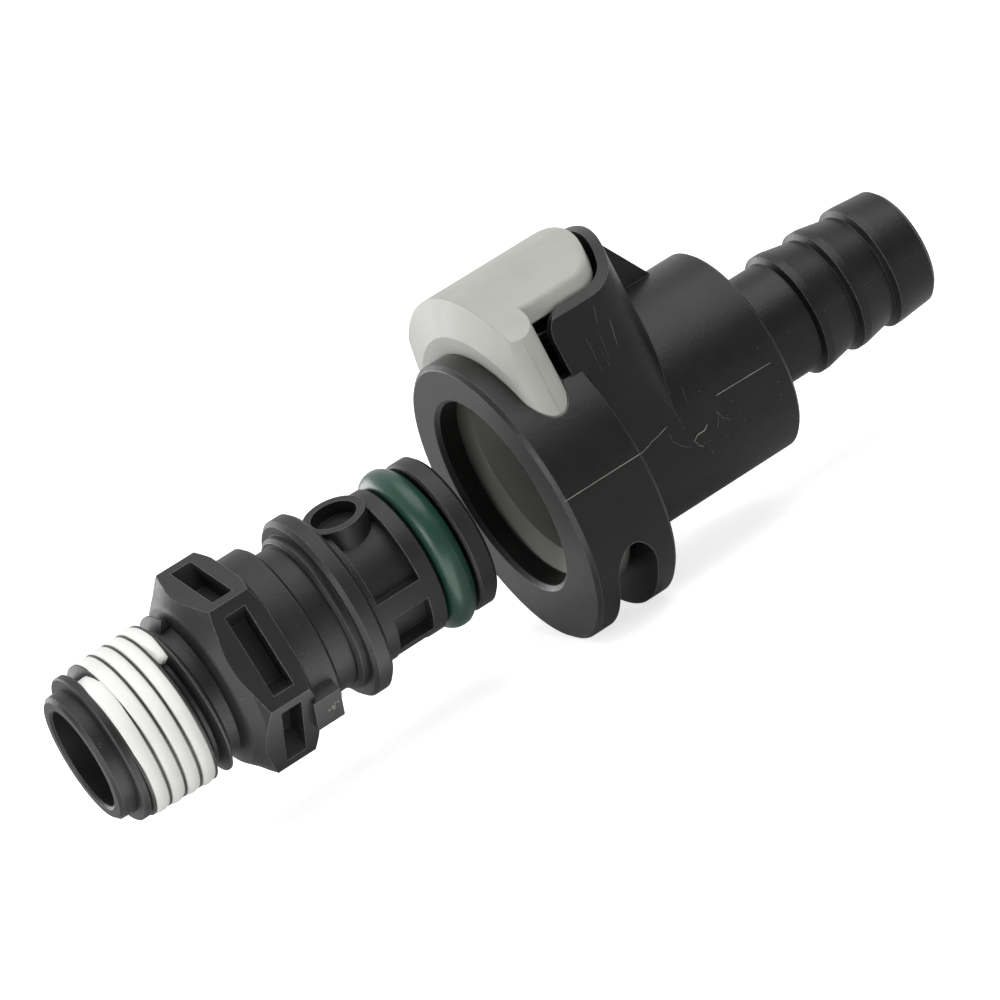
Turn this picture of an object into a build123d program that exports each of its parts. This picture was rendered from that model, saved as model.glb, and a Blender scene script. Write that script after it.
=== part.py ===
from build123d import *
from math import atan, cos, degrees, hypot, radians, sin, sqrt, tan
import os

# A quick disconnect coupling for small tubing, as a parted pair. The socket half has a hose barb
# and a thumb latch. The plug half has a taper pipe thread, a hexagon and a nose with an O-ring.
# Sizes are millimetres. +X runs along the common axis towards the hose, and +Z is the latch side.
# The origin is the centre of the socket's rear shoulder, where the hose barb starts.

# A moulding's smallest rounded corner
smallest_round = 0.4

# How far a cut runs past its face, and a raised part into what carries it
overcut = 1.0
overlap = 1.0
touching = 0.01
far = 60.0

# Socket body
socket_depth = 23.8
cylinder_radius = 9.2
shoulder_chamfer = 0.25
rim_radius = 12.8
rim_drop = 0.8
rim_length = 7.85
rim_front_chamfer = 0.35
rim_back_chamfer = 0.3
front_lip = 2.05
rear_ledge_height = 7.6
mouth_radius = 8.6
mouth_chamfer = 0.35
collar_room_depth = 2.8
collar_room_gap = 0.3
seal_lead_in = 1.3
seal_bore_depth = 19.6
flow_radius = 3.4
bore_end_cone = 1.6

# Latch slot, which runs down through the rim and widens a little below
slot_running_gap = 0.1
slot_side_gap = 0.11
slot_gauge_height = 5.65
slot_draft = 2.6

# Hose barb
barb_length = 17.5
barb_root_radius = 5.0
barb_crest_radius = 5.55
barb_ridge_places = (5.4, 9.3, 13.2)
barb_ridge_rise = 0.3
barb_ridge_land = 0.7
barb_tip_radius = 5.3
barb_tip_chamfer = 0.4

# Thumb latch
latch_hole_radius = 8.4
latch_hole_rise = 1.1
latch_lead_in = 1.2
plate_half_width = 10.95
plate_thickness = 3.6
plate_edge_round = 1.7
pad_top_radius = 16.6
pad_half_width = 8.6
pad_thickness = 1.4
pad_back = 15.2
pad_back_radius = 14.5
pad_corner = 2.5
pad_edge_round = 0.7
face_slope_length = 0.85
face_slope_start = 13.5

# Cowl round the back of the latch
cowl_side_gap = 0.35
cowl_back_gap = 0.6
cowl_wall = 0.85
cowl_front = 6.7
cowl_top_radius = 15.65
cowl_front_corner = 2.2
cowl_foot_height = 4.0
gusset_thickness = 1.0
gusset_reach = 20.2
gusset_top_height = 15.5

# Latch spring
spring_place = 10.6
spring_radius = 2.2
spring_wire_radius = 0.25
spring_turns = 4.0
spring_seat_depth = 0.7
spring_seat_gap = 0.3
spring_peg_gap = 0.25
spring_peg_length = 1.6
spring_end_gap = 0.02

# Plug body, with places measured from the thread's end face
parting_gap = 5.0
plug_length = 35.6
plug_roll = 17.5
end_face_chamfer = 0.3
bore_edge_chamfer = 0.2
thread_bore_radius = 4.35
undercut_radius = 5.95
undercut_end = 10.9
dome_knee = 11.3
dome_knee_radius = 7.2
dome_round = 1.0
hex_across_flats = 15.875
hex_start = 12.4
hex_end = 17.0
hex_chamfer_radius = 8.3
hex_corner_slope = 30.0
hex_pocket_length = 7.2
hex_pocket_floor_length = 5.2
hex_pocket_width = 1.9
hex_pocket_depth = 2.0
barrel_radius = 7.65
barrel_end = 19.7
barrel_chamfer = 0.3
latch_groove_radius = 6.4
collar_step_radius = 7.0
collar_step_length = 0.8
collar_start = 22.6
collar_end = 24.4
collar_radius = 8.1
collar_chamfer = 0.35
nose_radius = 6.5
nose_core_radius = 5.4
nose_ring_start = 29.3
nose_ring_chamfer = 0.2
ring_groove_length = 3.0
tip_length = 1.8
tip_radius = 6.8
tip_chamfer = 0.35
nose_bore_radius = 3.5
bore_step_start = 22.0
bore_step_length = 1.5

# Pipe thread's taper, which the sealant is wound along
thread_first_crest = 2.0
thread_pitch = 1.411
thread_turns = 6.0
thread_crest_radius = 6.56
thread_depth = 0.95
thread_sink = 0.12
thread_taper = 1.0 / 32.0

# Cored nose, with angles from the boss
boss_radius = 2.65
boss_cup_radius = 1.95
boss_cup_depth = 1.2
boss_reach_into_ring = 0.25
boss_height = 6.75
upper_panel_start = 25.2
upper_panel_angles = (0.0, 78.0)
lower_pocket_start = 26.0
lower_pocket_angles = ((94.0, 128.0), (138.0, 172.0))
sector_steps = 4

# Moulding lug behind the hexagon, with its angle from the boss
lug_angle = 113.0
lug_start = 16.5
lug_end = 19.0
lug_width = 3.4
lug_radius = 8.6

# O-ring
o_ring_section = 2.62
o_ring_middle_radius = 5.9
o_ring_groove_gap = 0.02
o_ring_bore_gap = 0.05

# Sealant in the thread
sealant_turns = 4.08
sealant_crest_step = 0.1
sealant_side_gap = 0.02

# Places that follow from the sizes
mouth = -socket_depth
plug_tip = mouth - parting_gap
plug_origin = plug_tip - plug_length
slot_front = mouth + front_lip
slot_back = slot_front + plate_thickness + 2 * slot_running_gap
plate_front = slot_front + slot_running_gap
plate_back = plate_front + plate_thickness
seal_bore_radius = o_ring_middle_radius + o_ring_section / 2 + o_ring_bore_gap
collar_room_radius = collar_radius + collar_room_gap
collar_room_end = slot_back + collar_room_depth
boss_place = nose_ring_start + boss_reach_into_ring - boss_radius


def turned(points):
    """A solid turned about the X axis from its (x, radius) points.

    A third value eases that corner: by a chamfer where it is small, and else by a round.
    """
    corners = [point[:2] for point in points]
    outline = make_face(Plane.XZ * Polyline(*corners, close=True))
    for x, radius, easing in [point for point in points if len(point) == 3]:
        corner = outline.vertices().sort_by_distance((x, 0, radius))[0]
        ease = fillet if easing >= smallest_round else chamfer
        outline = ease(corner, easing)
    return revolve(outline, Axis.X)


def bar(start, end, radius, centre_height=0.0):
    """A round bar along X."""
    place = Pos((start + end) / 2, 0, centre_height) * Rot(0, 90, 0)
    return place * Cylinder(radius, end - start)


def across(outline, start, end):
    """An outline drawn on (y, z), made solid from one x to another."""
    return extrude(Plane.YZ.offset(start) * outline, end - start)


def block(x_range, y_range, z_range):
    """A rectangular block between pairs of limits."""
    ranges = (x_range, y_range, z_range)
    middle = [(low + high) / 2 for low, high in ranges]
    size = [high - low for low, high in ranges]
    return Pos(*middle) * Box(*size)


def barb_outline():
    """The hose barb's outer points, from the shoulder to the free end."""
    points = [(0.0, barb_root_radius)]
    for place in barb_ridge_places:
        points.append((place, barb_root_radius))
        points.append((place + barb_ridge_rise, barb_crest_radius))
        points.append((place + barb_ridge_rise + barb_ridge_land, barb_crest_radius))
    points.append((barb_length - barb_tip_chamfer, barb_tip_radius))
    points.append((barb_length, barb_tip_radius - barb_tip_chamfer))
    return points


def socket_core():
    """The cylinder behind the rim, with the hose barb."""
    return turned([(slot_front, 0), (slot_front, cylinder_radius),
                   (0, cylinder_radius, shoulder_chamfer)] + barb_outline() + [(barb_length, 0)])


def rim():
    """The round rim, whose rear lip stops short of the latch."""
    rim_end = mouth + rim_length
    drum = Pos(0, 0, -rim_drop) * turned([(mouth, 0), (mouth, rim_radius, rim_front_chamfer),
                                          (rim_end, rim_radius, rim_back_chamfer), (rim_end, 0)])
    return drum - block((slot_back, far), (-far, far), (rear_ledge_height, far))


def pad_plan(side_margin, back_margin):
    """The plan of the thumb pad, with its bowed back, grown by margins at the sides and back."""
    front = plate_front - far
    width = pad_half_width + side_margin
    back = mouth + pad_back + back_margin
    radius = pad_back_radius + back_margin
    corner = back - radius + sqrt(radius ** 2 - width ** 2)
    outline = Polyline((corner, -width), (front, -width), (front, width), (corner, width))
    outline += ThreePointArc((corner, width), (back, 0), (corner, -width))
    plan = make_face(outline)
    return fillet(plan.vertices().group_by(Axis.X)[-1], pad_corner + back_margin)


def cowl():
    """The wall that stands round the sides and back of the thumb pad."""
    outer = extrude(pad_plan(cowl_side_gap + cowl_wall, cowl_back_gap + cowl_wall), far)
    inner = extrude(pad_plan(cowl_side_gap, cowl_back_gap), far)
    front = mouth + cowl_front
    inner_width = pad_half_width + cowl_side_gap
    outer_width = inner_width + cowl_wall
    corner_height = sqrt(cowl_top_radius ** 2 - inner_width ** 2)
    bend = cowl_front_corner * (1 - sqrt(0.5))
    side = Line((front, 0), (front, corner_height - cowl_front_corner))
    side += ThreePointArc((front, corner_height - cowl_front_corner),
                          (front + bend, corner_height - bend),
                          (front + cowl_front_corner, corner_height))
    side += Polyline((front + cowl_front_corner, corner_height), (front + far, far), (front + far, 0),
                     (front, 0))
    side_solid = extrude(make_face(Plane.XZ * side), far, both=True)
    foot = Polyline((-cylinder_radius, 0), (-outer_width, cowl_foot_height), (-outer_width, far),
                    (outer_width, far), (outer_width, cowl_foot_height), (cylinder_radius, 0), close=True)
    end_solid = across(make_face(foot), front, front + far)
    return (outer - inner) & side_solid & end_solid & bar(front, far, cowl_top_radius)


def gusset():
    """The thin web that stiffens the cowl from behind."""
    back = mouth + pad_back + cowl_back_gap + cowl_wall / 2
    corners = Polyline((back, 0), (back, gusset_top_height), (mouth + gusset_reach, cylinder_radius),
                       (mouth + gusset_reach, 0), close=True)
    return extrude(make_face(Plane.XZ * corners), gusset_thickness / 2, both=True)


def latch_slot():
    """The slot that the latch slides in, straight down through the rim, with round sides."""
    width = plate_half_width + slot_side_gap
    spread = far * tan(radians(slot_draft))
    top = slot_gauge_height + far
    bottom = slot_gauge_height - far
    outline = Polyline((spread - width, top), (width - spread, top), (width + spread, bottom),
                       (-width - spread, bottom), close=True)
    slot = across(make_face(outline), slot_front, slot_back)
    sides = slot.edges().filter_by(lambda edge: edge.length > far)
    return fillet(sides, plate_edge_round + slot_running_gap)


def socket_bore():
    """The stepped bore from the mouth to the hose end."""
    seal_start = collar_room_end + seal_lead_in
    seal_end = mouth + seal_bore_depth
    return turned([
        (mouth - overcut, 0),
        (mouth - overcut, mouth_radius + mouth_chamfer + overcut),
        (mouth + mouth_chamfer, mouth_radius),
        (slot_back, mouth_radius),
        (slot_back, collar_room_radius),
        (collar_room_end, collar_room_radius),
        (seal_start, seal_bore_radius),
        (seal_end, seal_bore_radius),
        (seal_end + bore_end_cone, flow_radius),
        (barb_length + overcut, flow_radius),
        (barb_length + overcut, 0),
    ])


def spring_seat_floor():
    """The height of the flat that the spring stands on."""
    return cylinder_radius - spring_seat_depth


def coupling_body():
    """The moulded socket body with its rim, cowl and hose barb."""
    body = rim() + socket_core() + cowl() + gusset()
    body -= latch_slot()
    body -= socket_bore()
    seat_radius = spring_radius + spring_wire_radius + spring_seat_gap
    seat_height = spring_seat_depth + overcut
    seat_middle = spring_seat_floor() + seat_height / 2
    return body - Pos(mouth + spring_place, 0, seat_middle) * Cylinder(seat_radius, seat_height)


def latch_plate():
    """The latch's plate, round below and straight-sided above, with round edges."""
    outline = Circle(plate_half_width)
    outline += Pos(0, far / 2) * Rectangle(2 * plate_half_width, far)
    plate = across(outline, plate_front, plate_back)
    sides = plate.edges().filter_by(Axis.Z) + plate.edges().filter_by(GeomType.CIRCLE)
    return fillet(sides, plate_edge_round)


def thumb_latch():
    """The latch: a plate whose hole catches the plug's collar, with a thumb pad on top."""
    pad = extrude(pad_plan(0, 0), far)
    pad &= block((plate_back, far), (-far, far), (0, far))
    pad -= bar(plate_front, far, pad_top_radius - pad_thickness)
    envelope = turned([
        (plate_front, 0),
        (plate_front, face_slope_start),
        (plate_front + face_slope_length, pad_top_radius),
        (far, pad_top_radius),
        (far, 0),
    ])
    latch = (latch_plate() + pad) & envelope
    top_edges = latch.edges().filter_by(
        lambda edge: edge.center().X > plate_back + touching
        and abs(hypot(edge.position_at(0.5).Y, edge.position_at(0.5).Z) - pad_top_radius) < touching)
    latch = fillet(top_edges, pad_edge_round)
    hole_start = plate_front + latch_lead_in
    hole = Pos(0, 0, latch_hole_rise) * turned([
        (plate_front - overcut, 0),
        (plate_front - overcut, latch_hole_radius + latch_lead_in + overcut),
        (hole_start, latch_hole_radius),
        (plate_back + overcut, latch_hole_radius),
        (plate_back + overcut, 0),
    ])
    latch -= hole
    peg_top = pad_top_radius - pad_thickness / 2
    peg_end = pad_top_radius - pad_thickness - spring_peg_length
    peg_radius = spring_radius - spring_wire_radius - spring_peg_gap
    peg = Pos(mouth + spring_place, 0, (peg_top + peg_end) / 2) * Cylinder(peg_radius, peg_top - peg_end)
    return latch + peg


def latch_spring():
    """The coil spring between the body and the thumb pad, with its ends ground flat."""
    floor = spring_seat_floor() + spring_end_gap
    ceiling = sqrt((pad_top_radius - pad_thickness) ** 2
                   - (spring_radius + spring_wire_radius) ** 2) - spring_end_gap
    coil_height = ceiling - floor
    pitch = coil_height / spring_turns
    path = Helix(pitch, coil_height, spring_radius)
    start = Plane(origin=path @ 0, z_dir=path % 0)
    coil = sweep(start * RegularPolygon(spring_wire_radius, 6), path, is_frenet=True)
    place = Pos(mouth + spring_place, 0, floor)
    ground = Pos(0, 0, coil_height / 2) * Cylinder(spring_radius * 2, coil_height)
    return place * (coil & ground)


def on_plug(part):
    """A part drawn from the thread's end face, moved and rolled to its place on the plug."""
    return Pos(plug_origin, 0, 0) * Rot(plug_roll, 0, 0) * part


def thread_crest(place):
    """The thread's crest radius at a place along the plug."""
    return thread_crest_radius + thread_taper * (place - thread_first_crest)


def thread_root(place):
    """The thread's root radius at a place along the plug."""
    return thread_crest(place) - thread_depth


def thread_sweep(outline, turns, place):
    """An outline of (height over the root, distance along) points, swept along the thread."""
    path = Helix(thread_pitch, thread_pitch * turns, thread_root(place),
                 cone_angle=degrees(atan(thread_taper)))
    start = Plane(origin=path @ 0, x_dir=(path @ 0).normalized(), z_dir=path % 0)
    swept = sweep(start * outline, path, is_frenet=True)
    return Pos(place, 0, 0) * Rot(180, 0, 0) * Rot(0, 90, 0) * swept


def plug_outline():
    """The plug's points, from the thread end along the outside to the tip and back by the bore."""
    end_radius = thread_root(0)
    thread_end = thread_first_crest + thread_turns * thread_pitch
    groove_end = plug_length - tip_length
    groove_start = groove_end - ring_groove_length
    groove_floor = o_ring_middle_radius - o_ring_section / 2 - o_ring_groove_gap
    return [
        (0, end_radius, end_face_chamfer),
        (thread_end, thread_root(thread_end)),
        (undercut_end, undercut_radius),
        (hex_end, undercut_radius),
        (hex_end, barrel_radius),
        (barrel_end, barrel_radius, barrel_chamfer),
        (barrel_end, latch_groove_radius),
        (collar_start - collar_step_length, latch_groove_radius),
        (collar_start - collar_step_length, collar_step_radius, barrel_chamfer),
        (collar_start, collar_step_radius),
        (collar_start, collar_radius, collar_chamfer),
        (collar_end, collar_radius, collar_chamfer),
        (collar_end, nose_radius),
        (groove_start, nose_radius, nose_ring_chamfer),
        (groove_start, groove_floor),
        (groove_end, groove_floor),
        (groove_end, tip_radius, nose_ring_chamfer),
        (plug_length, tip_radius, tip_chamfer),
        (plug_length, nose_bore_radius, bore_edge_chamfer),
        (bore_step_start + bore_step_length, nose_bore_radius),
        (bore_step_start, thread_bore_radius),
        (0, thread_bore_radius, bore_edge_chamfer),
    ]


def hexagon():
    """The spanner hexagon, with its domed shoulder and its cut corners."""
    half_flats = hex_across_flats / 2
    outer_radius = half_flats / cos(radians(30)) + overlap
    slope = (outer_radius - hex_chamfer_radius) * tan(radians(hex_corner_slope))
    hexagon_bar = across(RegularPolygon(half_flats, 6, major_radius=False), undercut_end, hex_end)
    envelope = turned([
        (undercut_end, 0),
        (undercut_end, undercut_radius),
        (dome_knee, dome_knee_radius, dome_round),
        (hex_start, hex_chamfer_radius),
        (hex_start + slope, outer_radius),
        (hex_end - slope, outer_radius),
        (hex_end, hex_chamfer_radius),
        (hex_end, 0),
    ])
    return hexagon_bar & envelope


def hexagon_pockets():
    """The pocket that cores each flat of the hexagon, with sloping ends."""
    surface = hex_across_flats / 2
    top = surface + overcut
    floor = surface - hex_pocket_depth
    mouth_half = hex_pocket_length / 2
    floor_half = hex_pocket_floor_length / 2
    outline = Polyline((-floor_half, floor), (floor_half, floor), (mouth_half, surface), (mouth_half, top),
                       (-mouth_half, top), (-mouth_half, surface), close=True)
    middle = (hex_start + hex_end) / 2
    pocket = across(make_face(outline), middle - hex_pocket_width / 2, middle + hex_pocket_width / 2)
    return [Rot(turn, 0, 0) * pocket for turn in range(0, 360, 60)]


def sector(start, end, low_angle, high_angle, inner_radius):
    """A block between two angles from the boss, outside a radius, from one place to another."""
    points = [(0, 0)]
    for step in range(sector_steps + 1):
        angle = radians(low_angle + (high_angle - low_angle) * step / sector_steps)
        points.append((-far * sin(angle), far * cos(angle)))
    wedge = across(make_face(Polyline(*points, close=True)), start, end)
    return wedge - bar(start, end, inner_radius)


def nose_pockets():
    """The panels and pockets that core out the nose behind its ring."""
    cuts = []
    for side in (-1, 1):
        low, high = sorted(side * angle for angle in upper_panel_angles)
        cuts.append(sector(upper_panel_start, nose_ring_start, low, high, nose_core_radius))
        for angles in lower_pocket_angles:
            low, high = sorted(side * angle for angle in angles)
            cuts.append(sector(lower_pocket_start, nose_ring_start, low, high, nose_core_radius))
    return cuts


def nose_boss():
    """The round cup boss on the nose."""
    boss_base = nose_core_radius - overlap
    boss_middle = (boss_base + boss_height) / 2
    boss = Pos(boss_place, 0, boss_middle) * Cylinder(boss_radius, boss_height - boss_base)
    cup = Pos(boss_place, 0, boss_height) * Cylinder(boss_cup_radius, 2 * boss_cup_depth)
    return boss, cup


def plug_body():
    """The moulded plug with its tapered end, hexagon, latch groove and nose."""
    body = turned(plug_outline())
    core = bar(undercut_end - overcut, hex_end + overcut, thread_bore_radius + overlap)
    body += hexagon() - core
    body -= hexagon_pockets()
    body -= nose_pockets()
    boss, cup = nose_boss()
    body += boss
    body -= cup
    lug = block((lug_start, lug_end), (-lug_width / 2, lug_width / 2),
                (latch_groove_radius - overlap, lug_radius))
    body += Rot(lug_angle, 0, 0) * lug
    return on_plug(body)


def plug_o_ring():
    """The O-ring in the nose groove."""
    place = plug_length - tip_length - ring_groove_length / 2
    ring = Pos(place, 0, 0) * Rot(0, 90, 0) * Torus(o_ring_middle_radius, o_ring_section / 2)
    return on_plug(ring)


def thread_sealant(body):
    """The sealant wound along the thread's taper, to just under its crests."""
    top = thread_depth - sealant_crest_step
    half = thread_pitch / 2 - sealant_side_gap
    outline = make_face(Polyline((top, -half), (-thread_sink, -half), (-thread_sink, half),
                                 (top, half), close=True))
    filler = thread_sweep(outline, sealant_turns, thread_first_crest + thread_pitch / 2)
    return on_plug(filler) - body


os.makedirs("parts", exist_ok=True)
plug = plug_body()
nodes = {
    "coupling_body": coupling_body(),
    "thumb_latch": thumb_latch(),
    "latch_spring": latch_spring(),
    "plug_body": plug,
    "plug_o_ring": plug_o_ring(),
    "thread_sealant": thread_sealant(plug),
}
for name, shape in nodes.items():
    export_step(shape, f"parts/{name}.step")
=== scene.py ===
import math
import random

import bpy
from mathutils import Matrix, Vector, noise


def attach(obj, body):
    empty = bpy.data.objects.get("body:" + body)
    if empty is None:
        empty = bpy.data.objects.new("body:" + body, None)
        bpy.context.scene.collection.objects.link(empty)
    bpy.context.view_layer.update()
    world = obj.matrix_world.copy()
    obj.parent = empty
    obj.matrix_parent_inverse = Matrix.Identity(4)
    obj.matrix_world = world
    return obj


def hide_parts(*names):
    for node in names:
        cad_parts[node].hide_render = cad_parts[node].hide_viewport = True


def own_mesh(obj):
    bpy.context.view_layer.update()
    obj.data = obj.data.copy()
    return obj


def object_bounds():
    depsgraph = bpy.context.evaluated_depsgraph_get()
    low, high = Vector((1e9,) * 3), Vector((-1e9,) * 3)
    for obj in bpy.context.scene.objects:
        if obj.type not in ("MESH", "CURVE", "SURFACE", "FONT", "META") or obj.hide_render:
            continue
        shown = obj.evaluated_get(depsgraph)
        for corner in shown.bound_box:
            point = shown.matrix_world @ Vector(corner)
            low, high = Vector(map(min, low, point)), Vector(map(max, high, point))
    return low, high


# The coupling as the photograph shows it: a black socket half with a grey thumb latch, and a
# black plug half with a green O-ring and white sealant in its pipe thread. Everything is in
# metres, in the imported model's frame: +X runs towards the hose and +Z is the latch side.

MM = 0.001

# The view, as the photograph has it
VIEW_SIZE_PX = 1000
FOCAL_PX = 4700
SENSOR_MM = 36
AXIS_TILT = math.radians(32.3)
AXIS_TURN = math.radians(18.3)
LATCH_LEAN = math.radians(14.0)
MOUTH = Vector((-23.8 * MM, 0, 0))
MOUTH_PX = (499.5, 496.1)
MOUTH_DISTANCE = 0.379

# The moulding's surfaces that carry fine marks: radius and height of the centre line
RIM = (12.8 * MM, -0.8 * MM)
REAR_CYLINDER = (9.2 * MM, 0.0)
COWL_SIDE = -9.8 * MM
PARTING_HEIGHT = -0.05 * MM

# The thread, from its first crest. Its section is in heights over the root and shifts along it
PLUG_ORIGIN = -64.4 * MM
PLUG_ROLL = math.radians(17.5)
THREAD_START = 2.0 * MM
THREAD_PITCH = 1.411 * MM
THREAD_ROOT = 5.61 * MM
THREAD_TAPER = 1 / 32
THREAD_TURNS = 6.0
THREAD_SECTION = ((-0.12 * MM, 0.58 * MM), (0.93 * MM, 0.075 * MM), (0.93 * MM, -0.075 * MM),
                  (-0.12 * MM, -0.58 * MM))
THREAD_STEPS = 540

# The plain land in front of the thread
LAND_START = 1.5 * MM
LAND_END = 2.25 * MM
LAND_RADIUS = 6.5 * MM
LAND_ROOT = 5.45 * MM
LAND_EDGE = 0.1 * MM
LAND_STEPS = 96

# The sealant between the thread's crests, and where and how far it is smeared over one of them
SEALANT_TURNS = 4.08
SEALANT_STEPS = 420
SEALANT_SIDE = 0.655 * MM
SEALANT_EDGE = 0.83 * MM
SEALANT_CROWN = 0.2 * MM
SEALANT_ROUGH = 0.03 * MM
SEALANT_FOOT = (-0.05 * MM, 0.2 * MM)
SMEAR_TURN = 0.05
SMEAR_REACH = 0.14
SMEAR_HEIGHT = 0.14 * MM
SMEAR_SIDE = 0.06 * MM

# The O-ring's middle circle and its section, and the lug that the plug was moulded by
RING_PLACE = -32.1 * MM
RING_RADIUS = 5.9 * MM
RING_SECTION = 1.31 * MM
LUG_PLACE = Vector((-46.2 * MM, 0, 0))
LUG_RADIUS = 8.6 * MM
LUG_ANGLE = math.radians(130.5)

# Raised lines end in a narrow tip, and specks are low uneven pyramids: shares of their sizes
RIDGE_TIP = 0.2
SPECK_SIDES = 6
SPECK_REACH = (0.6, 1.2)
SPECK_SINK = 0.3
SPECK_HEIGHT = 0.5

# The dust, in millimetres and degrees: sizes, and the places on each half with their counts. On
# the rim it sits a little deeper, so that it stays within the object's outline
DUST_ON_SOCKET = (0.03, 0.06)
DUST_ON_PLUG = (0.03, 0.05)
DUSTY_RIM = (RIM[0] - 0.03 * MM, RIM[1])
DUSTY_SOCKET = ((10, DUSTY_RIM, (-23.0, -16.4)), (16, REAR_CYLINDER, (-12.5, -1.0)))
DUSTY_PLUG = ((5.58, (-64.0, -62.8)), (7.7, (-53.2, -52.2)), (7.65, (-46.9, -45.0)),
              (8.1, (-41.7, -40.3)), (6.8, (-30.4, -29.0)))

# How finely a shader feels round a point, for its rounded edges and for how open it lies
ROUNDED_SAMPLES = 6
OPENNESS_SAMPLES = 4

# How the plastics vary: the size of their clouds of colour and of their patches of sheen
CLOUD_LIMITS = (0.3, 0.7)
CLOUD_SIZE = 3 * MM
SHEEN_SIZE = 0.6 * MM
SHEEN_SPREAD = 0.05

# Where an edge gets a painted highlight, by how far its rounding bends the normal and how open it
# lies
EDGE_SHARE = 0.6
EDGE_BEND = (0.985, 0.8)
EDGE_OPENNESS = (0.7, 0.95)
EDGE_REACH = 0.4 * MM

# Where the latch gets painted shade as deep in a recess, by how open it lies
RECESS_OPENNESS = (0.2, 0.6)
RECESS_REACH = 9 * MM

# The room, which dims towards one side, and the floor, with their own light for each kind of ray
DIM_SIDE = (0.3, -0.94, 0.15)
DIM_FADE = (-0.5, 0.4)
ROOM_LIGHT = 0.3
ROOM_DIM = 0.3
FLOOR_HALF_SIZE = 3.0
FLOOR_CLOUD_SIZE = 40 * MM
FLOOR_SHADES = (0.74, 0.78)
FLOOR_GLOW = 0.74
FLOOR_GLOW_MIRRORED = 0.05
# A patch of floor glows only in reflections, a painted light for the front edges to mirror: its
# glow, middle and half size
MIRRORED_PATCH_GLOW = 2.6
MIRRORED_PATCH_MIDDLE = (-135 * MM, -26 * MM)
MIRRORED_PATCH_HALF = (100 * MM, 20 * MM)

# The lamps round the object's middle: their directions as shares of the camera's right, up and
# backward directions, their distances and sizes in metres, and their powers in watts
LAMP_MIDDLE = Vector((-20 * MM, 0, 0))
LAMPS = {
    "key": ((-0.1, 0.92, 0.35), 0.5, 0.5, 2.1),
    "left": ((-0.7, -0.38, 0.58), 0.5, 0.24, 1.3),
    "back_left": ((-0.7, -0.05, -0.7), 0.5, 0.25, 0.85),
}


def colour(red, green, blue):
    """A colour in linear light from its usual 0 to 255 values."""
    shares = [value / 255 for value in (red, green, blue)]
    linear = [s / 12.92 if s <= 0.04045 else ((s + 0.055) / 1.055) ** 2.4 for s in shares]
    return (*linear, 1)


def view_axes():
    """The camera's right, up and backward directions in the model's frame."""
    along = Vector((math.cos(AXIS_TILT), math.sin(AXIS_TILT), 0))
    across = Vector((-along.y, along.x, 0))
    back = Vector((0, 0, 1))
    near = math.sin(AXIS_TURN) * along + math.cos(AXIS_TURN) * back
    x_axis = math.cos(AXIS_TURN) * along - math.sin(AXIS_TURN) * back
    y_axis = math.sin(LATCH_LEAN) * across - math.cos(LATCH_LEAN) * near
    z_axis = math.cos(LATCH_LEAN) * across + math.sin(LATCH_LEAN) * near
    return [Vector((x_axis[i], y_axis[i], z_axis[i])) for i in range(3)]


RIGHT, UP, BACK = view_axes()


def make_camera():
    """The camera, at the photograph's place and focal length."""
    data = bpy.data.cameras.new("camera")
    data.sensor_width = SENSOR_MM
    data.lens = FOCAL_PX / VIEW_SIZE_PX * SENSOR_MM
    data.clip_start = 0.01
    camera = bpy.data.objects.new("camera", data)
    bpy.context.scene.collection.objects.link(camera)
    half = VIEW_SIZE_PX / 2
    aside = (MOUTH_PX[0] - half) / FOCAL_PX * MOUTH_DISTANCE
    above = (half - MOUTH_PX[1]) / FOCAL_PX * MOUTH_DISTANCE
    place = MOUTH - aside * RIGHT - above * UP + MOUTH_DISTANCE * BACK
    turn = Matrix((RIGHT, UP, BACK)).transposed().to_4x4()
    camera.matrix_world = Matrix.Translation(place) @ turn
    bpy.context.scene.camera = camera


def make_lamp(name, direction, distance, size, power):
    """A soft square lamp that shines on the object's middle from a direction."""
    data = bpy.data.lights.new(name, "AREA")
    data.size = size
    data.energy = power
    lamp = bpy.data.objects.new(name, data)
    lamp.location = LAMP_MIDDLE + direction.normalized() * distance
    lamp.rotation_euler = direction.to_track_quat("Z", "Y").to_euler()
    lamp.visible_camera = False
    bpy.context.scene.collection.objects.link(lamp)


def make_lamps():
    """The overhead lamp, a low one at the left and one behind it."""
    for name, (shares, distance, size, power) in LAMPS.items():
        direction = shares[0] * RIGHT + shares[1] * UP + shares[2] * BACK
        make_lamp(name, direction, distance, size, power)


def node_material(name):
    """A new material, its node tree and its shader."""
    material = bpy.data.materials.new(name)
    material.use_nodes = True
    tree = material.node_tree
    shader = tree.nodes["Principled BSDF"]
    return material, tree, shader


def grain(tree, size, detail=2.0):
    """A fine noise over the object, with grains of a size in metres."""
    coordinates = tree.nodes.new("ShaderNodeTexCoord")
    grains = tree.nodes.new("ShaderNodeTexNoise")
    grains.inputs["Scale"].default_value = 1 / size
    grains.inputs["Detail"].default_value = detail
    tree.links.new(coordinates.outputs["Object"], grains.inputs["Vector"])
    return grains.outputs["Fac"]


def clouds(tree, size, detail, colours):
    """A cloudy colour that varies between two others, with clouds of a size in metres."""
    node = tree.nodes.new("ShaderNodeValToRGB")
    for stop, place, colour_there in zip(node.color_ramp.elements, CLOUD_LIMITS, colours):
        stop.position = place
        stop.color = colour_there
    tree.links.new(grain(tree, size, detail), node.inputs["Fac"])
    return node.outputs["Color"]


def rounded(tree, radius):
    """The normal of the surface with its edges rounded."""
    bevel = tree.nodes.new("ShaderNodeBevel")
    bevel.samples = ROUNDED_SAMPLES
    bevel.inputs["Radius"].default_value = radius
    return bevel.outputs["Normal"]


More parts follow.
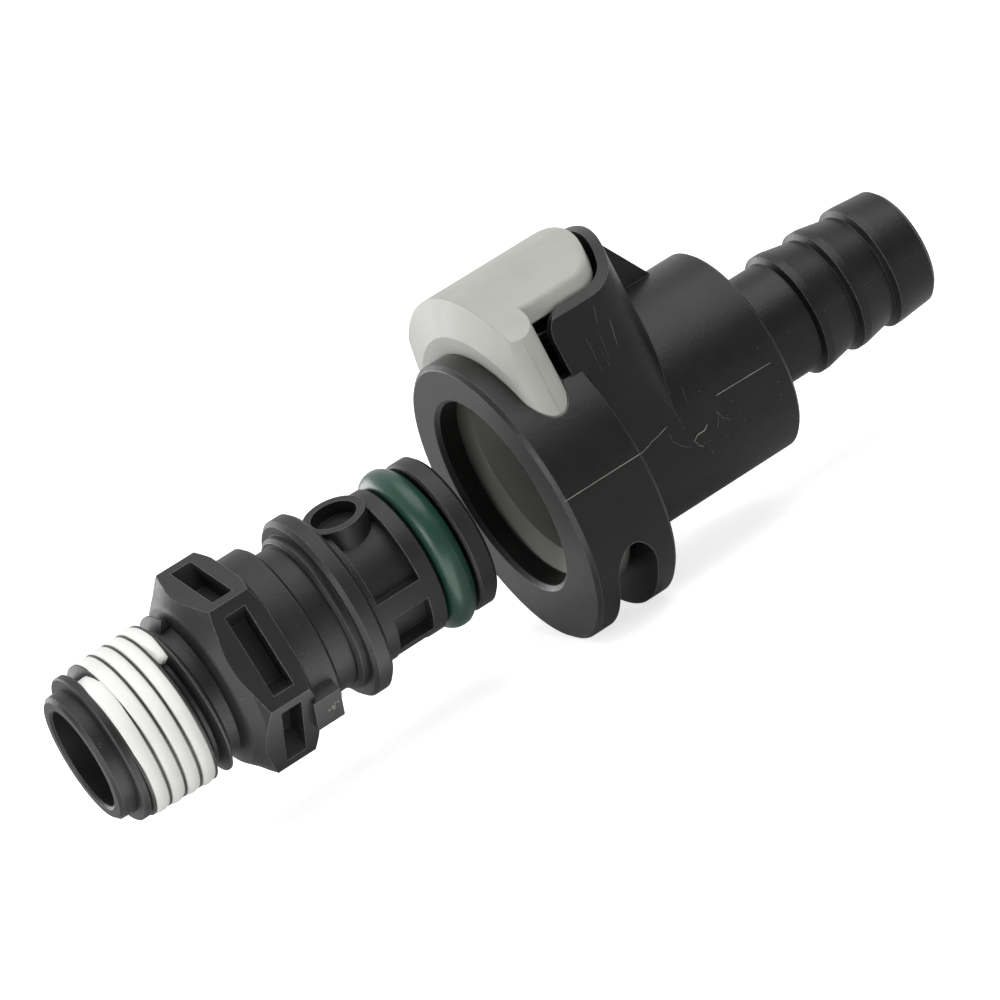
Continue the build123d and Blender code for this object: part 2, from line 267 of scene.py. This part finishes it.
def openness(tree, reach, local):
    """How open the surface lies, from 0 in a deep corner to 1 in the free."""
    node = tree.nodes.new("ShaderNodeAmbientOcclusion")
    node.samples = OPENNESS_SAMPLES
    node.only_local = local
    node.inputs["Distance"].default_value = reach
    return node.outputs["AO"]


def between(tree, value, limits, low=0.0):
    """How far a value lies between two limits, from a low share to 1."""
    node = tree.nodes.new("ShaderNodeMapRange")
    node.inputs["From Min"].default_value = limits[0]
    node.inputs["From Max"].default_value = limits[1]
    node.inputs["To Min"].default_value = low
    tree.links.new(value, node.inputs["Value"])
    return node.outputs["Result"]


def product(tree, first, second):
    """Two values multiplied."""
    node = tree.nodes.new("ShaderNodeMath")
    node.operation = "MULTIPLY"
    tree.links.new(first, node.inputs[0])
    tree.links.new(second, node.inputs[1])
    return node.outputs[0]


def painted_edge_highlights(tree, base, normal, highlight_colour):
    """A base colour with a painted highlight, turning to a paler colour along the outward edges."""
    surface = tree.nodes.new("ShaderNodeNewGeometry")
    bend = tree.nodes.new("ShaderNodeVectorMath")
    bend.operation = "DOT_PRODUCT"
    tree.links.new(normal, bend.inputs[0])
    tree.links.new(surface.outputs["Normal"], bend.inputs[1])
    edge = between(tree, bend.outputs["Value"], EDGE_BEND)
    outward = between(tree, openness(tree, EDGE_REACH, True), EDGE_OPENNESS)
    mix = tree.nodes.new("ShaderNodeMix")
    mix.data_type = "RGBA"
    tree.links.new(product(tree, edge, outward), mix.inputs[0])
    tree.links.new(base, mix.inputs[6])
    mix.inputs[7].default_value = highlight_colour
    return mix.outputs[2]


def shaded_recess(tree, base, least):
    """A base colour with painted shade, darker in a recess down to a share of itself."""
    share = between(tree, openness(tree, RECESS_REACH, False), RECESS_OPENNESS, least)
    mix = tree.nodes.new("ShaderNodeVectorMath")
    mix.operation = "SCALE"
    tree.links.new(base, mix.inputs[0])
    tree.links.new(share, mix.inputs["Scale"])
    return mix.outputs["Vector"]


def bumps(tree, shader, height, depth, normal):
    """Bumps a normal by a height, and gives it to the shader."""
    bump = tree.nodes.new("ShaderNodeBump")
    bump.inputs["Strength"].default_value = 1.0
    bump.inputs["Distance"].default_value = depth
    tree.links.new(height, bump.inputs["Height"])
    tree.links.new(normal, bump.inputs["Normal"])
    tree.links.new(bump.outputs["Normal"], shader.inputs["Normal"])


def plastic(name, dark, light, roughness, gloss, grain_size, grain_depth, edge_round,
            edge=None, recess=None):
    """A moulded plastic with a fine grain, cloudy colour and a sheen that varies a little;
    optionally with painted edge highlights and painted recess shade.
    """
    material, tree, shader = node_material(name)
    base = clouds(tree, CLOUD_SIZE, 4.0, (dark, light))
    normal = rounded(tree, edge_round)
    # Painted highlights along the outward edges, and painted shade in recesses
    if edge:
        base = painted_edge_highlights(tree, base, rounded(tree, edge_round * EDGE_SHARE), edge)
    # Painted shade: the base colour darkens in recesses
    if recess:
        base = shaded_recess(tree, base, recess)
    tree.links.new(base, shader.inputs["Base Color"])
    sheen = blend(tree, grain(tree, SHEEN_SIZE, 3.0), roughness - SHEEN_SPREAD,
                  roughness + SHEEN_SPREAD)
    tree.links.new(sheen, shader.inputs["Roughness"])
    shader.inputs["Specular IOR Level"].default_value = gloss
    bumps(tree, shader, grain(tree, grain_size), grain_depth, normal)
    return material


def make_materials():
    """The materials, by name."""
    fine = (0.1 * MM, 0.01 * MM, 0.01 * MM)
    materials = {
        # The black plastics' edge colours are painted highlights along their outward edges
        "black": plastic("black_plastic", colour(23, 22, 21), colour(30, 29, 28), 0.38, 0.3,
                         0.2 * MM, 0.02 * MM, 0.15 * MM, edge=colour(150, 150, 148)),
        "black_plug": plastic("black_plastic_plug", colour(28, 27, 26), colour(36, 35, 34), 0.48,
                              0.35, 0.2 * MM, 0.02 * MM, 0.12 * MM,
                              edge=colour(165, 165, 163)),
        # The grey latch's recess share is painted shade in its recesses
        "grey": plastic("grey_plastic", colour(174, 175, 168), colour(181, 182, 175), 0.42, 0.3,
                        0.2 * MM, 0.004 * MM, 0.15 * MM, recess=0.3),
        "green": plastic("green_rubber", colour(28, 62, 50), colour(35, 72, 59), 0.34, 0.4,
                         0.25 * MM, 0.004 * MM, 0.05 * MM),
        "white": plastic("white_sealant", colour(244, 244, 240), colour(251, 251, 248), 0.55, 0.3,
                         0.3 * MM, 0.012 * MM, 0.08 * MM),
        "steel": plastic("spring_steel", colour(150, 150, 152), colour(185, 185, 188), 0.3, 0.5,
                         0.1 * MM, 0.001 * MM, 0.02 * MM),
        "torn": plastic("torn_plastic", colour(120, 117, 112), colour(168, 165, 160), 0.5, 0.3,
                        *fine),
        "scuff": plastic("scuffed_plastic", colour(70, 68, 65), colour(120, 117, 112), 0.5, 0.3,
                         *fine),
        "dust": plastic("dust", colour(120, 117, 110), colour(170, 168, 160), 0.8, 0.2,
                        0.05 * MM, 0.01 * MM, 0.01 * MM),
    }
    steel = materials["steel"].node_tree.nodes["Principled BSDF"]
    steel.inputs["Metallic"].default_value = 1.0
    return materials


def any_ray(tree, *kinds):
    """A value that is 1 for rays of the named kinds, and else 0."""
    path = tree.nodes.new("ShaderNodeLightPath")
    total = path.outputs[f"Is {kinds[0]} Ray"]
    for kind in kinds[1:]:
        add = tree.nodes.new("ShaderNodeMath")
        add.operation = "MAXIMUM"
        tree.links.new(total, add.inputs[0])
        tree.links.new(path.outputs[f"Is {kind} Ray"], add.inputs[1])
        total = add.outputs[0]
    return total


def blend(tree, share, low, high):
    """A value between two others, each a number or a socket."""
    node = tree.nodes.new("ShaderNodeMapRange")
    for name, value in (("Value", share), ("To Min", low), ("To Max", high)):
        if isinstance(value, (int, float)):
            node.inputs[name].default_value = value
        else:
            tree.links.new(value, node.inputs[name])
    return node.outputs["Result"]


def make_surroundings():
    """A white room that is dimmer on its near side, as a studio is behind the lamps."""
    world = bpy.data.worlds.new("world")
    bpy.context.scene.world = world
    world.use_nodes = True
    tree = world.node_tree
    direction = tree.nodes.new("ShaderNodeTexCoord")
    nearness = tree.nodes.new("ShaderNodeVectorMath")
    nearness.operation = "DOT_PRODUCT"
    nearness.inputs[1].default_value = DIM_SIDE
    tree.links.new(direction.outputs["Generated"], nearness.inputs[0])
    room = tree.nodes.new("ShaderNodeMapRange")
    room.interpolation_type = "SMOOTHSTEP"
    room.inputs["From Min"].default_value = DIM_FADE[0]
    room.inputs["From Max"].default_value = DIM_FADE[1]
    room.inputs["To Min"].default_value = 1.0
    room.inputs["To Max"].default_value = ROOM_DIM
    tree.links.new(nearness.outputs["Value"], room.inputs["Value"])
    soft = blend(tree, any_ray(tree, "Glossy", "Transmission"), ROOM_LIGHT, room.outputs["Result"])
    tree.links.new(blend(tree, any_ray(tree, "Camera"), soft, 1.0),
                   tree.nodes["Background"].inputs["Strength"])
    tree.nodes["Background"].inputs["Color"].default_value = (1, 1, 1, 1)


def mirrored_glow_patch(tree):
    """A value that is 1 on the patch of floor that glows in reflections as painted light for the
    front edges to mirror, and 0 round it.
    """
    coordinates = tree.nodes.new("ShaderNodeTexCoord")
    split = tree.nodes.new("ShaderNodeSeparateXYZ")
    tree.links.new(coordinates.outputs["Object"], split.inputs["Vector"])
    shares = []
    for axis in (0, 1):
        away = tree.nodes.new("ShaderNodeMath")
        away.operation = "COMPARE"
        tree.links.new(split.outputs[axis], away.inputs[0])
        away.inputs[1].default_value = MIRRORED_PATCH_MIDDLE[axis]
        away.inputs[2].default_value = MIRRORED_PATCH_HALF[axis]
        shares.append(away.outputs[0])
    return product(tree, *shares)


def make_floor(lowest):
    """The floor under the object: white where it is lit, and soft grey in the object's shadow."""
    mesh = bpy.data.meshes.new("floor")
    corners = [(FLOOR_HALF_SIZE * x, FLOOR_HALF_SIZE * y, lowest)
               for x, y in ((-1, -1), (1, -1), (1, 1), (-1, 1))]
    mesh.from_pydata(corners, [], [(0, 1, 2, 3)])
    floor = bpy.data.objects.new("floor", mesh)
    bpy.context.scene.collection.objects.link(floor)
    material, tree, shader = node_material("floor")
    pale = clouds(tree, FLOOR_CLOUD_SIZE, 2.0, [(shade, shade, shade, 1) for shade in FLOOR_SHADES])
    tree.links.new(pale, shader.inputs["Base Color"])
    shader.inputs["Roughness"].default_value = 0.9
    shader.inputs["Specular IOR Level"].default_value = 0.0
    # Painted light: the patch glows only for mirrored rays, so the front edges show a painted
    # highlight
    floor_glow = blend(tree, mirrored_glow_patch(tree), FLOOR_GLOW_MIRRORED, MIRRORED_PATCH_GLOW)
    mirrored = blend(tree, any_ray(tree, "Glossy", "Transmission"), 0.0, floor_glow)
    glow = blend(tree, any_ray(tree, "Camera"), mirrored, FLOOR_GLOW)
    tree.links.new(glow, shader.inputs["Emission Strength"])
    shader.inputs["Emission Color"].default_value = (1, 1, 1, 1)
    mesh.materials.append(material)


def make_piece(name, corners, faces, body, material):
    """A mesh piece that rides on a body."""
    mesh = bpy.data.meshes.new(name)
    mesh.from_pydata(corners, [], faces)
    mesh.validate()
    mesh.materials.append(material)
    piece = bpy.data.objects.new(name, mesh)
    bpy.context.scene.collection.objects.link(piece)
    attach(piece, body)
    return piece


def on_cylinder(x, angle, surface):
    """A point and its outward normal on a cylinder, by its angle from the latch side."""
    radius, height = surface
    out = Vector((0, -math.sin(angle), math.cos(angle)))
    return Vector((x, 0, height)) + radius * out, out


def on_rim(x, angle):
    """A point and its outward normal on the rim, by its angle in degrees."""
    return on_cylinder(x, math.radians(angle), RIM)


def on_rear(x, angle):
    """A point and its outward normal on the rear cylinder, by its angle in degrees."""
    return on_cylinder(x, math.radians(angle), REAR_CYLINDER)


def on_cowl(x, height):
    """A point and its outward normal on the cowl's near side, by its height in millimetres."""
    return Vector((x, COWL_SIDE, height * MM)), Vector((0, -1, 0))


def wavy_path(waypoints, steps, waver, chance, place):
    """Points and normals along waypoints, which a function places, with a small waver."""
    path = []
    for (u0, v0), (u1, v1) in zip(waypoints, waypoints[1:]):
        for step in range(steps):
            share = step / steps
            u = u0 + (u1 - u0) * share + chance.uniform(-waver, waver)
            path.append(place(u * MM, v0 + (v1 - v0) * share))
    path.append(place(waypoints[-1][0] * MM, waypoints[-1][1]))
    return path


def band_faces(first, second, size):
    """The faces between two outlines of a band, by the places of their first corners."""
    return [(first + k, first + (k + 1) % size, second + (k + 1) % size, second + k)
            for k in range(size)]


def joined(parts):
    """The corners and faces of several meshes as one mesh's."""
    corners, faces = [], []
    for more, more_faces in parts:
        faces += [tuple(i + len(corners) for i in face) for face in more_faces]
        corners += more
    return corners, faces


def ridge_mesh(path, width, height, closed):
    """The corners and faces of a fine raised line along a path, with tapered ends."""
    corners = []
    count = len(path)
    for i, (point, out) in enumerate(path):
        after = path[(i + 1) % count][0] if closed or i + 1 < count else point
        before = path[i - 1][0] if closed or i > 0 else point
        side = (after - before).cross(out).normalized()
        share = RIDGE_TIP if not closed and i in (0, count - 1) else 1.0
        corners.append(point - side * width / 2 * share - out * height)
        corners.append(point + out * height * share)
        corners.append(point + side * width / 2 * share - out * height)
    faces = []
    for i in range(count if closed else count - 1):
        faces += band_faces(3 * i, 3 * ((i + 1) % count), 3)
    if not closed:
        last = 3 * (count - 1)
        faces += [(2, 1, 0), (last, last + 1, last + 2)]
    return corners, faces


def make_ridges(name, paths, width, height, body, material, closed=False):
    """Several fine raised lines as one piece."""
    corners, faces = joined(ridge_mesh(path, width, height, closed) for path in paths)
    make_piece(name, corners, faces, body, material)


def parting_lines(materials):
    """The fine lines that the mould left along the near side, torn into flash on the rim."""
    chance = random.Random(3)
    torn_end = [(-15.6, 96.5), (-14.6, 96.0), (-13.4, 94), (-11.7, 91.5)]
    flash = [
        wavy_path([(-23.7, 86.5), (-16.1, 86.5)], 26, 0.0, chance, on_rim),
        wavy_path(torn_end, 6, 0.12, chance, on_rear),
        wavy_path([(-6.9, 91.5), (-3.6, 91.9), (-1.2, 92.2)], 12, 0.03, chance, on_rear),
    ]
    make_ridges("mould_flash", flash, 0.1 * MM, 0.02 * MM, "socket", materials["torn"])
    faint = []
    for start, end in (((0.3, 5.0), (5.35, 5.0)), ((6.45, 5.55), (9.25, 5.02)),
                       ((10.35, 5.55), (13.15, 5.02)), ((14.25, 5.55), (17.0, 5.32))):
        for turn in (90, -90):
            faint.append([on_cylinder(x * MM, math.radians(turn), (radius * MM, PARTING_HEIGHT))
                          for x, radius in (start, end)])
    faint.append(wavy_path([(-15.8, -92), (-0.4, -92)], 20, 0.0, chance, on_rear))
    faint.append(wavy_path([(-23.7, -86.5), (-16.1, -86.5)], 20, 0.0, chance, on_rim))
    make_ridges("parting_line", faint, 0.07 * MM, 0.02 * MM, "socket", materials["black"])


def latch_parting_lines(materials):
    """The parting line down each side of the latch's plate."""
    paths = []
    for side in (-1, 1):
        out = Vector((0, side, 0))
        paths.append([(Vector((-19.85 * MM, side * 10.95 * MM, height * MM)), out)
                      for height in (12.2, 10.5, 8.8, 7.1, 5.4, 3.6, 1.8, 0.2)])
    make_ridges("latch_parting_line", paths, 0.14 * MM, 0.035 * MM, "latch", materials["grey"])


def scratches(materials):
    """The scuffs and curled whiskers on the near side of the body and the cowl."""
    chance = random.Random(11)
    strokes = [
        [(-9.0, 78), (-9.2, 84), (-9.3, 88)],
        [(-10.5, 82), (-10.8, 84), (-11.0, 87)],
        [(-10.5, 88), (-10.5, 94), (-10.5, 98)],
        [(-7.3, 98), (-7.4, 102), (-7.8, 107)],
        [(-7.2, 99), (-7.1, 103), (-6.5, 107)],
        [(-9.3, 109), (-9.0, 115), (-8.7, 120)],
        [(-11.9, 95), (-11.8, 100), (-11.2, 105), (-10.4, 109)],
    ]
    paths = [wavy_path(stroke, 5, 0.06, chance, on_rear) for stroke in strokes]
    make_ridges("scuffs", paths, 0.09 * MM, 0.03 * MM, "socket", materials["scuff"])
    curl = [(-8.5, 102), (-8.9, 104), (-9.6, 104), (-10.1, 106), (-9.8, 110), (-9.4, 112)]
    make_ridges("whisker", [wavy_path(curl, 4, 0.05, chance, on_rear)], 0.16 * MM, 0.08 * MM,
                "socket", materials["torn"])
    lines = [
        [(-14.6, 9.9), (-14.7, 6.2)],
        [(-14.0, 8.2), (-13.9, 6.4)],
        [(-12.8, 11.5), (-13.2, 10.0)],
        [(-13.4, 9.4), (-13.7, 7.0)],
        [(-12.1, 9.9), (-12.6, 7.4)],
    ]
    paths = [wavy_path(line, 6, 0.02, chance, on_cowl) for line in lines]
    make_ridges("cowl_scratches", paths, 0.05 * MM, 0.012 * MM, "socket", materials["scuff"])


def speck_mesh(point, out, size, chance):
    """The corners and faces of an uneven low grain on a surface."""
    across = out.orthogonal().normalized()
    along = out.cross(across)
    corners = []
    for k in range(SPECK_SIDES):
        angle = 2 * math.pi * k / SPECK_SIDES
        reach = size * chance.uniform(*SPECK_REACH)
        spoke = math.cos(angle) * across + math.sin(angle) * along
        corners.append(point + reach * spoke - out * size * SPECK_SINK)
    corners.append(point + out * size * SPECK_HEIGHT)
    faces = [(k, (k + 1) % SPECK_SIDES, SPECK_SIDES) for k in range(SPECK_SIDES)]
    faces.append(tuple(reversed(range(SPECK_SIDES))))
    return corners, faces


def make_specks(name, places, body, material, chance):
    """Specks of dust and lint as one piece, from their points, normals and sizes."""
    corners, faces = joined(speck_mesh(*place, chance) for place in places)
    make_piece(name, corners, faces, body, material)


def specks_on_cylinder(count, surface, ends, angles, sizes, chance):
    """The points, normals and sizes of specks on a cylinder, between its ends and angles."""
    places = []
    for _ in range(count):
        x = chance.uniform(*ends) * MM
        angle = math.radians(chance.uniform(*angles))
        point, out = on_cylinder(x, angle, surface)
        places.append((point, out, chance.uniform(*sizes) * MM))
    return places


def dust(materials):
    """The pale specks on the near side of both halves, and the lint on the O-ring."""
    chance = random.Random(29)
    places = []
    for count, surface, ends in DUSTY_SOCKET:
        places += specks_on_cylinder(count, surface, ends, (62, 118), DUST_ON_SOCKET, chance)
    make_specks("dust_on_socket", places, "socket", materials["dust"], chance)
    places = []
    for _ in range(14):
        around = math.radians(chance.uniform(70, 130))
        point, out = ring_point(around, math.radians(chance.uniform(-50, 60)))
        places.append((point, out, chance.uniform(*DUST_ON_PLUG) * MM))
    for radius, ends in DUSTY_PLUG:
        surface = (radius * MM, 0.0)
        places += specks_on_cylinder(3, surface, ends, (60, 120), DUST_ON_PLUG, chance)
    make_specks("dust_on_plug", places, "plug", materials["dust"], chance)


def ring_point(around, lean):
    """A point and its outward normal on the O-ring, by the angles round its axis and section."""
    spoke = Vector((0, -math.sin(around), math.cos(around)))
    out = spoke * math.cos(lean) + Vector((1, 0, 0)) * math.sin(lean)
    return Vector((RING_PLACE, 0, 0)) + spoke * RING_RADIUS + out * RING_SECTION, out


def ring_seam(materials):
    """The fine moulding seam round the O-ring."""
    steps = 180
    lean = math.radians(18)
    path = [ring_point(2 * math.pi * step / steps, lean) for step in range(steps)]
    make_ridges("o_ring_seam", [path], 0.07 * MM, 0.02 * MM, "plug", materials["green"],
                closed=True)


def gate_mark(materials):
    """The pale torn mark on the lug, where the moulding was broken off its feed."""
    chance = random.Random(5)
    point, out = on_cylinder(0, LUG_ANGLE, (LUG_RADIUS, 0.0))
    places = [(point + LUG_PLACE, out, 0.42 * MM)]
    for _ in range(5):
        shift = Vector((chance.uniform(-0.45, 0.45) * MM, 0, 0))
        along = out.cross(Vector((1, 0, 0))) * chance.uniform(-0.6, 0.6) * MM
        places.append((point + LUG_PLACE + shift + along, out, chance.uniform(0.12, 0.25) * MM))
    make_specks("gate_mark", places, "plug", materials["torn"], chance)


def wound_piece(name, turns, start, section, steps, material):
    """A closed band wound along the thread, from its outline at each turn."""
    corners = []
    size = 0
    for step in range(steps + 1):
        turn = turns * step / steps
        points = section(turn)
        size = len(points)
        for height, shift in points:
            along = start + THREAD_PITCH * turn + shift
            radius = THREAD_ROOT + THREAD_TAPER * along + height
            angle = 2 * math.pi * turn + PLUG_ROLL
            corners.append(on_cylinder(PLUG_ORIGIN + along, angle, (radius, 0.0))[0])
    faces = []
    for step in range(steps):
        faces += band_faces(step * size, (step + 1) * size, size)
    faces.append(tuple(reversed(range(size))))
    faces.append(tuple(steps * size + k for k in range(size)))
    return make_piece(name, corners, faces, "plug", material)


def pipe_thread(materials):
    """The raised pipe thread, which thins away at its start and breaks off short at its end."""
    def section(turn):
        share = min(1.0, 0.25 + 3.0 * turn)
        return [(height * share, shift * (0.6 + 0.4 * share)) for height, shift in THREAD_SECTION]

    wound_piece("pipe_thread", THREAD_TURNS, THREAD_START, section, THREAD_STEPS,
                materials["black_plug"])


def thread_land(materials):
    """The plain raised land that the thread starts from."""
    outline = [(LAND_START, LAND_ROOT), (LAND_START, LAND_RADIUS - LAND_EDGE),
               (LAND_START + LAND_EDGE, LAND_RADIUS), (LAND_END - LAND_EDGE, LAND_RADIUS),
               (LAND_END, LAND_RADIUS - LAND_EDGE), (LAND_END, LAND_ROOT)]
    size = len(outline)
    corners, faces = [], []
    for step in range(LAND_STEPS):
        angle = 2 * math.pi * step / LAND_STEPS
        corners += [on_cylinder(PLUG_ORIGIN + x, angle, (radius, 0.0))[0] for x, radius in outline]
        faces += band_faces(step * size, (step + 1) % LAND_STEPS * size, size)
    make_piece("thread_land", corners, faces, "plug", materials["black_plug"])


def sealant_section(turn, share):
    """The sealant's outline at a turn, as heights over the thread's root and shifts along it."""
    points = []
    steps = 8
    onwards = max(0.0, 1 - abs(turn - SMEAR_TURN) / SMEAR_REACH)
    backwards = max(0.0, 1 - abs(turn - SMEAR_TURN - 1) / SMEAR_REACH)
    for step in range(steps + 1):
        across = -1 + 2 * step / steps
        over = max(0.0, across * onwards, -across * backwards)
        crown = SEALANT_CROWN * (1 - across ** 2) + SMEAR_HEIGHT * over
        here = Vector((across * 2, turn * 9, 0.5))
        rough = SEALANT_ROUGH * (noise.noise(here) + 0.6 * noise.noise(here * 3.1))
        points.append(((SEALANT_EDGE + crown + rough) * share,
                       across * (SEALANT_SIDE + SMEAR_SIDE * over)))
    height, side = SEALANT_FOOT
    return points + [(height, side), (height, -side)]


def sealant(materials):
    """The sealant wound in the thread, as a puffy uneven band between the crests."""
    def section(turn):
        from_end = min(turn, SEALANT_TURNS - turn) * 18
        return sealant_section(turn, min(1.0, 0.55 + 0.45 * from_end))

    piece = wound_piece("sealant_band", SEALANT_TURNS, THREAD_START + THREAD_PITCH / 2, section,
                        SEALANT_STEPS, materials["white"])
    piece.data.shade_smooth()
    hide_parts("thread_sealant")


def spring_coil(materials):
    """The latch's spring, as a steel copy of the CAD spring that rides on the socket."""
    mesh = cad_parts["latch_spring"].data.copy()
    mesh.materials.clear()
    mesh.materials.append(materials["steel"])
    piece = bpy.data.objects.new("spring_coil", mesh)
    bpy.context.scene.collection.objects.link(piece)
    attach(piece, "socket")
    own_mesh(piece)
    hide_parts("latch_spring")


def dress(name, material):
    """Gives a CAD node its material."""
    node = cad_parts[name]
    node.data.materials.clear()
    node.data.materials.append(material)


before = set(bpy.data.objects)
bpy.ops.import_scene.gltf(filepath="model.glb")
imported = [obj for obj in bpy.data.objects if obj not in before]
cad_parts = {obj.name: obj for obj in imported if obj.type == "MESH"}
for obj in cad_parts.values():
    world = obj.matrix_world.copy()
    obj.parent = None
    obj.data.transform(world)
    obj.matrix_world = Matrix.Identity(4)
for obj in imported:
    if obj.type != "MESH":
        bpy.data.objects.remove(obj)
cad_low, cad_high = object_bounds()
materials = make_materials()
dress("coupling_body", materials["black"])
dress("thumb_latch", materials["grey"])
dress("latch_spring", materials["steel"])
dress("plug_body", materials["black_plug"])
dress("plug_o_ring", materials["green"])
dress("thread_sealant", materials["white"])
parting_lines(materials)
latch_parting_lines(materials)
scratches(materials)
dust(materials)
ring_seam(materials)
gate_mark(materials)
pipe_thread(materials)
thread_land(materials)
sealant(materials)
spring_coil(materials)
make_camera()
make_surroundings()
make_floor(cad_low.z)
make_lamps()
bpy.context.scene.view_settings.view_transform = "Standard"
